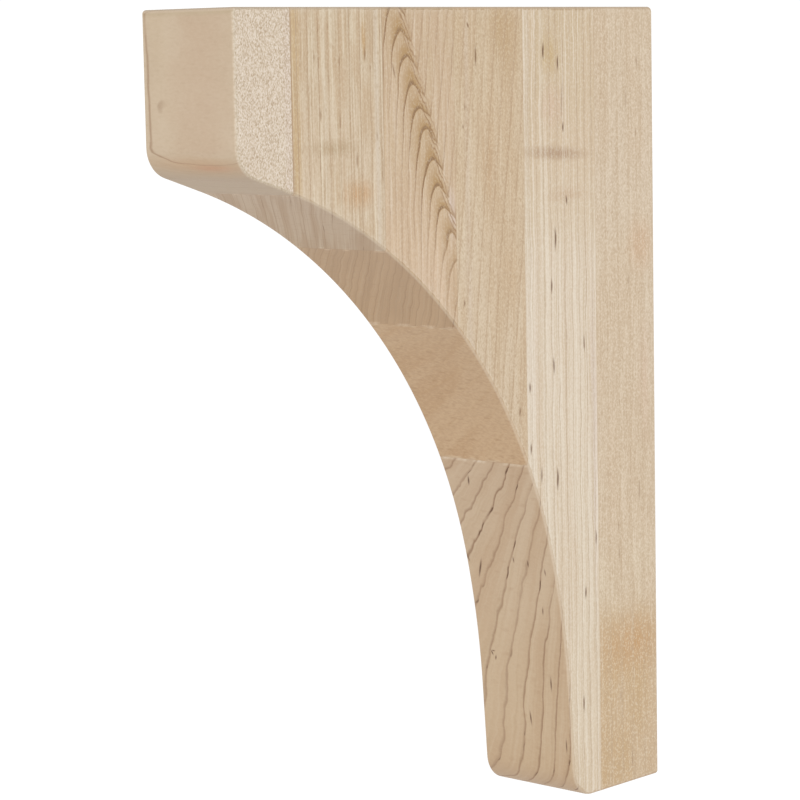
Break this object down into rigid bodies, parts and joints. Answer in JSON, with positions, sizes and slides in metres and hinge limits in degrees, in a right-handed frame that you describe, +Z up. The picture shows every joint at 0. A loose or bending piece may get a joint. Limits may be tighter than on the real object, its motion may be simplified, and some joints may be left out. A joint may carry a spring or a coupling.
{
  "type": "wooden corbel bracket",
  "caption": "Plain wooden corbel bracket with a concave underside, edge-glued from upright maple staves, to hold up a counter, shelf or mantel against a wall.",
  "frame": {"origin": "centre of the flat back face that goes against the wall", "axes": "+Y into the wall, so the nose points to -Y; +Z up, towards what the bracket carries; +X across the bracket, to the right of someone facing the wall"},
  "size_m": [0.0508, 0.254, 0.343],
  "materials": {
    "quartersawn_maple": "sanded, unfinished, ray fleck",
    "straight_maple": "sanded, unfinished, fine straight grain",
    "plain_sawn_maple": "sanded, unfinished, cathedral grain",
    "pale_maple": "sanded, unfinished, pale with brown lines"
  },
  "bodies": {
    "root": {"nose_stave": "quartersawn_maple", "upper_stave": "straight_maple", "middle_stave": "plain_sawn_maple", "lower_stave": "straight_maple", "foot_stave": "pale_maple", "wall_stave": "straight_maple"}
  },
  "joints": []
}
